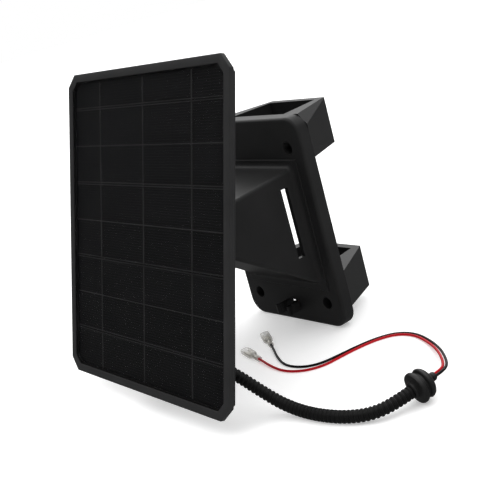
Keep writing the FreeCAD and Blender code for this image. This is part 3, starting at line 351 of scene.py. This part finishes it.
def show(name, bm, finish, body, nodes=(), sharp=35, modifiers=()):
    """Makes a finished mesh an object that stands for its nodes, and rides on a body if one is named."""
    mesh = bpy.data.meshes.new(name)
    bmesh.ops.recalc_face_normals(bm, faces=bm.faces)
    bm.to_mesh(mesh)
    bm.free()
    mesh.shade_smooth()
    mesh.set_sharp_from_angle(angle=math.radians(sharp))
    mesh.materials.append(finish.material)
    obj = bpy.data.objects.new(name, mesh)
    bpy.context.scene.collection.objects.link(obj)
    for kind, values in modifiers:
        modifier = obj.modifiers.new(kind.title(), kind)
        for key, value in values.items():
            setattr(modifier, key, value)
    if body:
        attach(obj, body)
    if nodes:
        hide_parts(*nodes)
    return obj


def softened(node, finish, body, width, segments=2, angle=40):
    """A copy of a node with its flat faces joined and its sharp edges slightly rounded."""
    bm = bmesh.new()
    bm.from_mesh(frame["nodes"][node].data)
    bmesh.ops.remove_doubles(bm, verts=bm.verts, dist=1e-6)
    bmesh.ops.dissolve_limit(bm, angle_limit=math.radians(0.5), verts=bm.verts, edges=bm.edges)
    sharp = [e for e in bm.edges if e.is_manifold and e.calc_face_angle() > math.radians(angle)]
    bmesh.ops.bevel(bm, geom=sharp, offset=width, offset_type="OFFSET", segments=segments,
                    profile=0.5, affect="EDGES", clamp_overlap=True, material=-1)
    return show(node + "_moulding", bm, finish, body, [node])


def smooth_line(points):
    """The smooth line that control points in millimetres give, as close places in metres."""
    curve = bpy.data.curves.new("line", "CURVE")
    curve.dimensions = "3D"
    curve.resolution_u = 24
    spline = curve.splines.new("NURBS")
    spline.points.add(len(points) - 1)
    for point, place in zip(spline.points, points):
        point.co = (*[c * MM for c in place], 1)
    spline.order_u = 3
    spline.use_endpoint_u = True
    holder = bpy.data.objects.new("line", curve)
    mesh = bpy.data.meshes.new_from_object(holder)
    places = [v.co.copy() for v in mesh.vertices]
    bpy.data.objects.remove(holder)
    bpy.data.curves.remove(curve)
    bpy.data.meshes.remove(mesh)
    return places


def line_length(places):
    return sum((b - a).length for a, b in zip(places, places[1:]))


def places_at(places, distances):
    """Places at rising distances along a line."""
    found, travelled, index = [], 0.0, 0
    for distance in distances:
        while index < len(places) - 2:
            step = (places[index + 1] - places[index]).length
            if travelled + step >= distance:
                break
            travelled += step
            index += 1
        a, b = places[index], places[index + 1]
        share = (distance - travelled) / max((b - a).length, 1e-9)
        found.append(a.lerp(b, min(max(share, 0.0), 1.0)))
    return found


def frames_along(places):
    """A frame at each place, its Z axis along the line and turned as little as possible."""
    frames, before, turn = [], None, None
    for index, place in enumerate(places):
        ahead = (places[min(index + 1, len(places) - 1)] - places[max(index - 1, 0)]).normalized()
        if turn is None:
            turn = Vector((0, 0, 1)).rotation_difference(ahead)
        else:
            turn = before.rotation_difference(ahead) @ turn
        before = ahead
        frames.append(Matrix.Translation(place) @ turn.to_matrix().to_4x4())
    return frames


def grow(bm, edges):
    """Extrudes a ring of edges once, and gives the new ring's edges and vertices."""
    out = bmesh.ops.extrude_edge_only(bm, edges=edges)["geom"]
    verts = [g for g in out if isinstance(g, bmesh.types.BMVert)]
    held = set(verts)
    ring = [g for g in out if isinstance(g, bmesh.types.BMEdge) and held.issuperset(g.verts)]
    return ring, verts


def swept(bm, frames, radii, sides):
    """A closed tube with one ring at each frame."""
    first = frames[0] @ Matrix.Scale(radii[0], 4)
    ring = bmesh.ops.create_circle(bm, segments=sides, radius=1.0, matrix=first)["verts"]
    edges = list({e for v in ring for e in v.link_edges})
    bmesh.ops.contextual_create(bm, geom=edges)
    place = first
    for next_frame, radius in zip(frames[1:], radii[1:]):
        edges, verts = grow(bm, edges)
        target = next_frame @ Matrix.Scale(radius, 4)
        bmesh.ops.transform(bm, matrix=target @ place.inverted(), verts=verts)
        place = target
    bmesh.ops.contextual_create(bm, geom=edges)


def through(bm, sides, stations, outline):
    """An open tube through stations, whose outline gives a vertex's place from its turn and a station."""
    edges = None
    for station in stations:
        if edges is None:
            verts = bmesh.ops.create_circle(bm, segments=sides, radius=1.0)["verts"]
            edges = list({e for v in verts for e in v.link_edges})
            turns = {v: math.atan2(v.co.y, v.co.x) for v in verts}
        else:
            old = {v: turns[v] for e in edges for v in e.verts}
            edges, verts = grow(bm, edges)
            turns = {v: old[next(e.other_vert(v) for e in v.link_edges if e.other_vert(v) in old)]
                     for v in verts}
        for v in verts:
            v.co = Vector(outline(turns[v], *station)) * MM


def turned(bm, profile, matrix, steps=64):
    """Spins a profile of (along, radius) millimetres about the matrix's X axis, closed at both ends."""
    corners = [(profile[0][0], 0)] + list(profile) + [(profile[-1][0], 0)]
    verts = [bm.verts.new((x * MM, 0, r * MM)) for x, r in corners]
    edges = [bm.edges.new(pair) for pair in zip(verts, verts[1:])]
    bmesh.ops.spin(bm, geom=verts + edges, cent=(0, 0, 0), axis=(1, 0, 0), angle=2 * math.pi,
                   steps=steps, use_merge=True)
    bmesh.ops.remove_doubles(bm, verts=bm.verts, dist=1e-6)
    bmesh.ops.transform(bm, matrix=matrix, verts=bm.verts)


def heading(start, ahead):
    """A frame at start whose X axis points ahead."""
    turn = Vector((1, 0, 0)).rotation_difference(ahead.normalized())
    return Matrix.Translation(start) @ turn.to_matrix().to_4x4()


# ---- operators, one for each piece or group of like pieces ----

class SOLAR_OT_stage(bpy.types.Operator):
    """Make the floor, the lights and the camera"""
    bl_idname = "solar.stage"
    bl_label = "Stage"

    def execute(self, context):
        sizes, colours = settings()
        scene = context.scene
        camera = bpy.data.objects.new("Camera", bpy.data.cameras.new("Camera"))
        camera.data.lens, camera.data.sensor_width = 70, 36
        camera.data.clip_start = 0.01
        right, up = Vector((0.6149, 0.7447, -0.2595)), Vector((-0.0658, 0.3763, 0.9241))
        back = right.cross(up)
        turn = Matrix((right, up, back)).transposed().to_4x4()
        camera.matrix_world = Matrix.Translation((0.5380, -0.4639, 0.1930)) @ turn
        scene.collection.objects.link(camera)
        scene.camera = camera
        scene.view_settings.view_transform = "Standard"

        bm = bmesh.new()
        bmesh.ops.create_grid(bm, x_segments=8, y_segments=8, size=6.0,
                              matrix=Matrix.Translation((0, 0, FLOOR_HEIGHT)))
        mesh = bpy.data.meshes.new("floor")
        bm.to_mesh(mesh)
        bm.free()
        floor = bpy.data.objects.new("floor", mesh)
        scene.collection.objects.link(floor)
        mesh.materials.append(Finish("pale floor", colours.floor, 0.9, Specular_IOR_Level=0.0,
                                     Emission_Color=(1, 1, 1, 1), Emission_Strength=0.4).material)
        floor.visible_glossy = False

        sky = bpy.data.objects.new("sky", bpy.data.lights.new("sky", "SUN"))
        sky.data.energy, sky.data.angle = sizes.sky_strength, math.radians(110)
        sky.matrix_world = Vector((0.25, -0.2, -1.0)).to_track_quat("-Z", "Y").to_matrix().to_4x4()
        scene.collection.objects.link(sky)
        self.light("rear", (-1.35, 0.95, 0.55), (0, -0.05, 0.02), (1.8, 1.2), sizes.rear_power)
        self.light("fill", (1.35, -0.25, 0.75), (0.03, -0.05, 0), (0.9, 0.9), sizes.fill_power)
        self.surroundings(scene)
        return {"FINISHED"}

    def light(self, name, place, target, size, power):
        data = bpy.data.lights.new(name, "AREA")
        data.shape, data.size, data.size_y, data.energy = "RECTANGLE", size[0], size[1], power
        lamp = bpy.data.objects.new(name, data)
        aim = (Vector(target) - Vector(place)).to_track_quat("-Z", "Y")
        lamp.matrix_world = Matrix.Translation(place) @ aim.to_matrix().to_4x4()
        lamp.visible_camera = False
        bpy.context.scene.collection.objects.link(lamp)

    def surroundings(self, scene):
        """A white backdrop for the camera, and a dim even room for the light."""
        world = bpy.data.worlds.new("room")
        scene.world = world
        world.use_nodes = True
        tree = world.node_tree
        tree.nodes.clear()
        out = tree.nodes.new("ShaderNodeOutputWorld")
        mix = tree.nodes.new("ShaderNodeMixShader")
        path = tree.nodes.new("ShaderNodeLightPath")
        tree.links.new(path.outputs["Is Camera Ray"], mix.inputs[0])
        for index, shade in ((1, 0.16), (2, 1.0)):
            plain = tree.nodes.new("ShaderNodeBackground")
            plain.inputs["Color"].default_value = (shade, shade, shade, 1)
            tree.links.new(plain.outputs[0], mix.inputs[index])
        tree.links.new(mix.outputs[0], out.inputs["Surface"])


class SOLAR_OT_conduit(bpy.types.Operator):
    """Make the ribbed conduit"""
    bl_idname = "solar.conduit"
    bl_label = "Conduit"

    def execute(self, context):
        sizes, colours = settings()
        line = smooth_line(CONDUIT_ROUTE)
        total = line_length(line)
        outer = sizes.conduit_diameter / 2
        inner = outer - sizes.ridge_depth
        ridges = round(total / sizes.ridge_pitch)
        pitch = total / ridges
        shape = [(0.04, inner), (0.16, inner), (0.24, outer - 0.15 * sizes.ridge_depth), (0.34, outer),
                 (0.66, outer), (0.76, outer - 0.15 * sizes.ridge_depth), (0.84, inner)]
        rings = [((n + share) * pitch, radius) for n in range(ridges) for share, radius in shape]
        rings = [(0.0, inner)] + rings + [(total, inner)]
        places = places_at(line, [d for d, _ in rings])
        bm = bmesh.new()
        swept(bm, frames_along(places), [r for _, r in rings], sizes.tube_sides)
        finish = moulded("conduit", colours.conduit, 0.36, 0.0005, 0.00001)
        tube = show("ribbed_conduit", bm, finish, None, ["conduit"], sharp=50)
        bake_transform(tube)
        return {"FINISHED"}


class SOLAR_OT_grommet(bpy.types.Operator):
    """Make the rubber grommet and the collar that the wires leave"""
    bl_idname = "solar.grommet"
    bl_label = "Grommet"

    def execute(self, context):
        sizes, colours = settings()
        finish = rubber("lead rubber", colours.rubber)
        start = Vector(CONDUIT_ROUTE[-1]) * MM
        place = heading(start, start - Vector(CONDUIT_ROUTE[-2]) * MM)
        bm = bmesh.new()
        turned(bm, [(0, 4.4), (0.5, 5.1), (1.2, 5.45), (1.9, 5.3), (2.3, 5.7), (2.45, 8.9), (2.8, 9.6),
                    (3.5, 9.95), (4.3, 10.0), (5.1, 9.95), (5.8, 9.55), (6.15, 8.9), (6.25, 7.9),
                    (6.6, 7.65), (8.0, 7.65), (8.35, 7.9), (8.45, 8.8), (8.8, 9.3), (9.5, 9.6),
                    (10.6, 9.35), (11.8, 8.6), (12.9, 7.2), (13.7, 5.6), (14.2, 4.5), (14.6, 3.4)],
               place)
        show("rubber_grommet", bm, finish, BRACKET_BODY, ["grommet"])
        bm = bmesh.new()
        turned(bm, [(14.1, 2.8), (15.2, 2.8), (15.4, 2.55), (15.8, 2.55), (16.0, 2.8), (17.2, 2.8),
                    (17.8, 2.65), (18.4, 2.3), (18.55, 1.9)], place, 32)
        show("wire_collar_rubber", bm, finish, BRACKET_BODY, ["wire_collar"])
        return {"FINISHED"}


class SOLAR_OT_wires(bpy.types.Operator):
    """Make the black and the red wire"""
    bl_idname = "solar.wires"
    bl_label = "Wires"

    def execute(self, context):
        sizes, colours = settings()
        for name, route in (("black", BLACK_ROUTE), ("red", RED_ROUTE)):
            line = smooth_line(route)
            total = line_length(line)
            count = int(total / 0.0014)
            places = places_at(line, [total * k / count for k in range(count + 1)])
            bm = bmesh.new()
            swept(bm, frames_along(places), [sizes.wire_diameter / 2] * (count + 1), 14)
            finish = insulation(name + " insulation", getattr(colours, name + "_wire"))
            show(name + "_insulated_wire", bm, finish, BRACKET_BODY, [name + "_wire"],
                 sharp=60)
        return {"FINISHED"}


class SOLAR_OT_terminals(bpy.types.Operator):
    """Make the two spade terminals and their soft sleeves"""
    bl_idname = "solar.terminals"
    bl_label = "Terminals"

    def execute(self, context):
        sizes, colours = settings()
        tin = metal("tinned brass", (0.86, 0.82, 0.70), 0.3, 0.0006)
        vinyl = clear_vinyl("clear vinyl", colours.sleeve)
        for name, route in (("black", BLACK_ROUTE), ("red", RED_ROUTE)):
            end = Vector(route[-1]) * MM
            place = heading(end, end - Vector(route[-2]) * MM)
            self.receptacle(name, tin, place)
            self.sleeve(name, vinyl, place, sizes.sleeve_wall)
        return {"FINISHED"}

    def receptacle(self, name, tin, place):
        """A flat plate with two rolled edges, and a crimped barrel behind it."""
        bm = bmesh.new()
        roll = [math.radians(a) for a in range(-90, 181, 30)]
        section = [(-1.65 - 0.62 * math.cos(a), 0.62 * math.sin(a)) for a in reversed(roll)]
        section += [(1.65 + 0.62 * math.cos(a), 0.62 * math.sin(a)) for a in roll]
        verts = [bm.verts.new((7.6 * MM, y * MM, z * MM)) for y, z in section]
        edges = [bm.edges.new(pair) for pair in zip(verts, verts[1:])]
        edges, moved = grow(bm, edges)
        bmesh.ops.translate(bm, vec=(11.2 * MM, 0, 0), verts=moved)
        neck = [bm.verts.new((x * MM, y * MM, -0.62 * MM))
                for x, y in ((7.7, -1.65), (7.7, 1.65), (5.8, 1.15), (5.8, -1.15))]
        bm.faces.new(neck)
        ring = bmesh.ops.create_circle(
            bm, segments=20, radius=1.22 * MM,
            matrix=Matrix.Translation((0.6 * MM, 0, 0)) @ Matrix.Rotation(math.pi / 2, 4, "Y"))["verts"]
        edges = list({e for v in ring for e in v.link_edges})
        for x, flat in ((2.0, 1.0), (2.4, 0.86), (3.8, 0.86), (4.2, 1.0), (5.9, 1.0)):
            edges, moved = grow(bm, edges)
            for vert in moved:
                turn = math.atan2(vert.co.z, vert.co.y)
                vert.co = (x * MM, 1.22 * MM * math.cos(turn), 1.22 * MM * flat * math.sin(turn))
        bmesh.ops.transform(bm, matrix=place, verts=bm.verts)
        show(name + "_spade_metal", bm, tin, BRACKET_BODY, [name + "_terminal"],
             modifiers=[("SOLIDIFY", {"thickness": 0.0003, "offset": 0.0})])

    def sleeve(self, name, vinyl, place, wall):
        """A round barrel that flares into a flat rounded mouth."""
        bm = bmesh.new()
        profile = [(-3.0, 2.0, 2.0, 1.0), (-2.6, 2.1, 2.1, 1.0), (5.6, 2.1, 2.1, 1.0),
                   (6.6, 2.6, 2.1, 0.8), (7.4, 3.2, 2.05, 0.6), (8.4, 3.5, 2.05, 0.5),
                   (9.4, 3.58, 2.08, 0.45), (15.0, 3.58, 2.08, 0.45), (21.0, 3.55, 2.08, 0.45),
                   (21.8, 3.45, 1.98, 0.45)]

        def rounded_box(turn, x, half_width, half_height, power):
            c, s = math.cos(turn), math.sin(turn)
            return (x, math.copysign(abs(c) ** power, c) * half_width,
                    math.copysign(abs(s) ** power, s) * half_height)

        through(bm, 32, profile, rounded_box)
        bmesh.ops.transform(bm, matrix=place, verts=bm.verts)
        show(name + "_spade_sleeve", bm, vinyl, BRACKET_BODY, [name + "_terminal_sleeve"],
             sharp=60, modifiers=[("SOLIDIFY", {"thickness": wall, "offset": -1.0})])


class SOLAR_OT_panel(bpy.types.Operator):
    """Make the panel's frame, glass, cells and rear cover"""
    bl_idname = "solar.panel"
    bl_label = "Panel"

    def execute(self, context):
        sizes, colours = settings()
        plastic = moulded("frame plastic", colours.frame, 0.44)
        softened("panel_frame", plastic, PANEL_BODY, sizes.edge_round, 3)
        softened("rear_cover", plastic, PANEL_BODY, sizes.edge_round * 0.6)
        dress("cover_glass", cover_glass())
        film = Finish("clear film", (0.02, 0.02, 0.02), 0.4, Alpha=0.01)
        film.bump(film.noise(0.004), 0.00001)
        dress("encapsulant", film)
        dress("solar_cells", cell_face(colours, sizes))
        ribbon = metal("dark ribbon", colours.ribbon, 0.5)
        ribbon.set("Metallic", 0.3)
        dress("cell_ribbons", ribbon)
        busbar = metal("dark busbar", tuple(0.55 * c for c in colours.ribbon), 0.6)
        busbar.set("Metallic", 0.2)
        dress("busbars", busbar)
        dress("output_tabs", metal("tinned copper", (0.7, 0.68, 0.62), 0.3))
        dress("back_sheet", moulded("back film", colours.cell, 0.5, 0.002))
        dress("frame_gasket", rubber("gasket rubber", colours.rubber))
        return {"FINISHED"}


class SOLAR_OT_junction_box(bpy.types.Operator):
    """Make the junction box, what is in it, and its cable gland"""
    bl_idname = "solar.junction_box"
    bl_label = "Junction box"

    def execute(self, context):
        sizes, colours = settings()
        plastic = moulded("box plastic", colours.frame, 0.4)
        softened("junction_box", plastic, PANEL_BODY, sizes.edge_round * 0.6)
        softened("junction_box_lid", plastic, PANEL_BODY, sizes.edge_round * 0.5)
        dress("junction_box_seal", rubber("seal rubber", colours.rubber))
        screws = metal("zinc plate", (0.58, 0.58, 0.6), 0.32)
        for node in ("lid_screws", "board_screws"):
            dress(node, screws)
        dress("circuit_board", board_mask())
        dress("blocking_diode", moulded("diode epoxy", colours.conduit, 0.3, 0.0003))
        dress("solder_posts", metal("solder", (0.66, 0.66, 0.66), 0.24, 0.001, (1, 1, 1)))
        nylon = moulded("gland nylon", colours.conduit, 0.42, 0.0004)
        dress("gland_body", nylon)
        self.gland_nut(nylon)
        return {"FINISHED"}

    def gland_nut(self, nylon):
        """A fluted nut that tapers to the conduit."""
        start = Vector(CONDUIT_ROUTE[0]) * MM
        place = heading(start, Vector((1, 0, 0)))
        bm = bmesh.new()
        stations = [(-11.8, 5.3, 0.0), (-11.8, 6.3, 0.0), (-11.4, 6.65, 0.35), (-4.4, 6.65, 0.35),
                    (-3.4, 6.3, 0.0), (-1.6, 5.5, 0.0), (-0.4, 4.9, 0.0), (0.0, 4.5, 0.0), (0.0, 2.4, 0.0)]
        flutes, sides_of_a_flute = 16, 6

        def fluted(turn, x, radius, flute):
            reach = radius - flute * max(0.0, math.cos(flutes * turn)) ** 2
            return x, reach * math.cos(turn), reach * math.sin(turn)

        through(bm, flutes * sides_of_a_flute, stations, fluted)
        bmesh.ops.transform(bm, matrix=place, verts=bm.verts)
        show("fluted_gland_nut", bm, nylon, PANEL_BODY, ["gland_nut"])


class SOLAR_OT_tilt_joint(bpy.types.Operator):
    """Make the tilt joint's mount, bolt, washers and nut"""
    bl_idname = "solar.tilt_joint"
    bl_label = "Tilt joint"

    def execute(self, context):
        sizes, colours = settings()
        softened("tilt_mount", moulded("mount plastic", colours.frame, 0.42), PANEL_BODY,
                 sizes.edge_round)
        steel = metal("plated steel", (0.56, 0.56, 0.58), 0.3)
        for node in ("tilt_mount_screws", "tilt_bolt", "tilt_washers", "tilt_nut"):
            dress(node, steel)
        dress("mount_inserts", metal("insert brass", (0.72, 0.5, 0.2), 0.28))
        return {"FINISHED"}


class SOLAR_OT_bracket(bpy.types.Operator):
    """Give the bracket its moulded finish"""
    bl_idname = "solar.bracket"
    bl_label = "Bracket"

    def execute(self, context):
        sizes, colours = settings()
        dress("bracket", moulded("bracket plastic", colours.bracket, 0.38))
        return {"FINISHED"}


class SOLAR_OT_lead_facts(bpy.types.Operator):
    """Work out the smooth line of each cord"""
    bl_idname = "solar.lead_facts"
    bl_label = "Lead facts"

    def execute(self, context):
        sizes, colours = settings()
        routes = {"conduit": CONDUIT_ROUTE, "black": BLACK_ROUTE, "red": RED_ROUTE}
        lines = {name: smooth_line(route) for name, route in routes.items()}
        return {"FINISHED"}


class SOLAR_PT_panel(bpy.types.Panel):
    """Lists the operators in the sidebar"""
    bl_idname = "SOLAR_PT_panel"
    bl_label = "Solar panel"
    bl_space_type = "VIEW_3D"
    bl_region_type = "UI"
    bl_category = "Solar panel"

    def draw(self, context):
        for operator in OPERATORS:
            self.layout.operator(operator.bl_idname)
        for group in (context.scene.solar_sizes, context.scene.solar_colours):
            for key in group.__annotations__:
                self.layout.prop(group, key)


OPERATORS = (SOLAR_OT_stage, SOLAR_OT_conduit, SOLAR_OT_grommet, SOLAR_OT_wires, SOLAR_OT_terminals,
             SOLAR_OT_panel, SOLAR_OT_junction_box, SOLAR_OT_tilt_joint, SOLAR_OT_bracket,
             SOLAR_OT_lead_facts)
CLASSES = (SolarSizes, SolarColours, *OPERATORS, SOLAR_PT_panel)


def register():
    for cls in CLASSES:
        bpy.utils.register_class(cls)
    bpy.types.Scene.solar_sizes = PointerProperty(type=SolarSizes)
    bpy.types.Scene.solar_colours = PointerProperty(type=SolarColours)


def unregister():
    del bpy.types.Scene.solar_colours
    del bpy.types.Scene.solar_sizes
    for cls in reversed(CLASSES):
        bpy.utils.unregister_class(cls)


def main():
    register()
    for operator in OPERATORS:
        group, name = operator.bl_idname.split(".")
        getattr(getattr(bpy.ops, group), name)()


if __name__ == "__main__":
    main()
